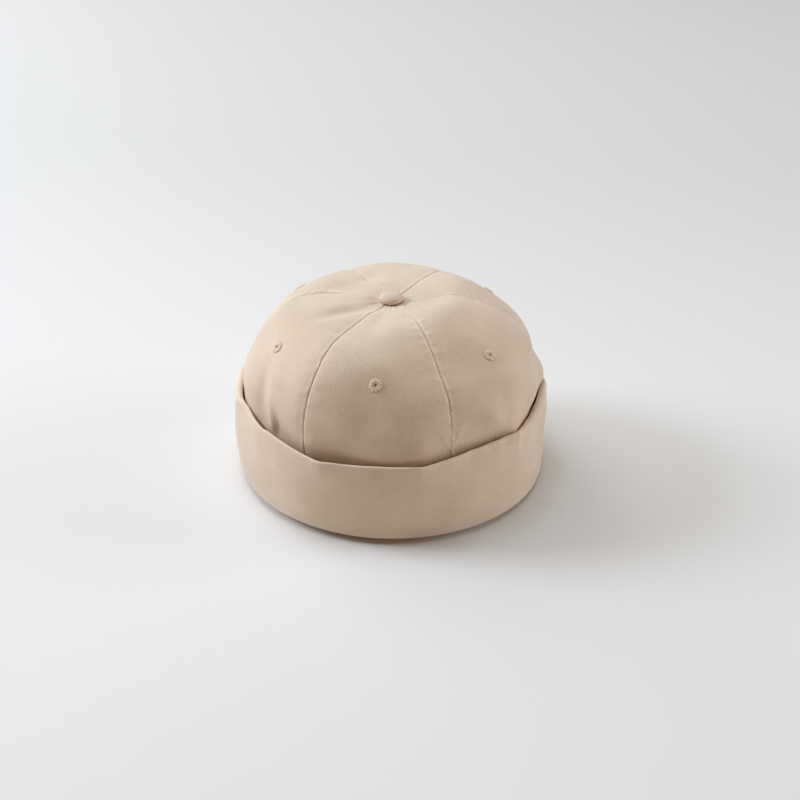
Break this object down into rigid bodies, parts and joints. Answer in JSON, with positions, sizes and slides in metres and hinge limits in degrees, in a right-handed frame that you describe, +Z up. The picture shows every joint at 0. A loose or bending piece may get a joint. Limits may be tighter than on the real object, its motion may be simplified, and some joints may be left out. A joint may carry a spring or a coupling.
{
  "type": "docker cap",
  "caption": "Brimless cotton twill docker cap with a panelled crown, covered top button, embroidered eyelets and a wide turned-up cuff.",
  "frame": {"origin": "under the middle of the cap, on the surface that the cuff's lower fold rests on", "axes": "+Z up to the top button, -Y to the front of the cap, +X to the right of someone looking at the front"},
  "size_m": [0.203, 0.2024, 0.1232],
  "materials": {
    "twill": "beige washed cotton twill, matt",
    "thread": "beige embroidery thread, slight sheen"
  },
  "bodies": {
    "root": {"crown_panel_front": "twill", "crown_panel_front_right": "twill", "crown_panel_back_right": "twill", "crown_panel_back": "twill", "crown_panel_back_left": "twill", "crown_panel_front_left": "twill", "eyelet_front": "thread", "eyelet_front_right": "thread", "eyelet_back_right": "thread", "eyelet_back": "thread", "eyelet_back_left": "thread", "eyelet_front_left": "thread", "top_button": "twill", "cuff": "twill"}
  },
  "joints": []
}
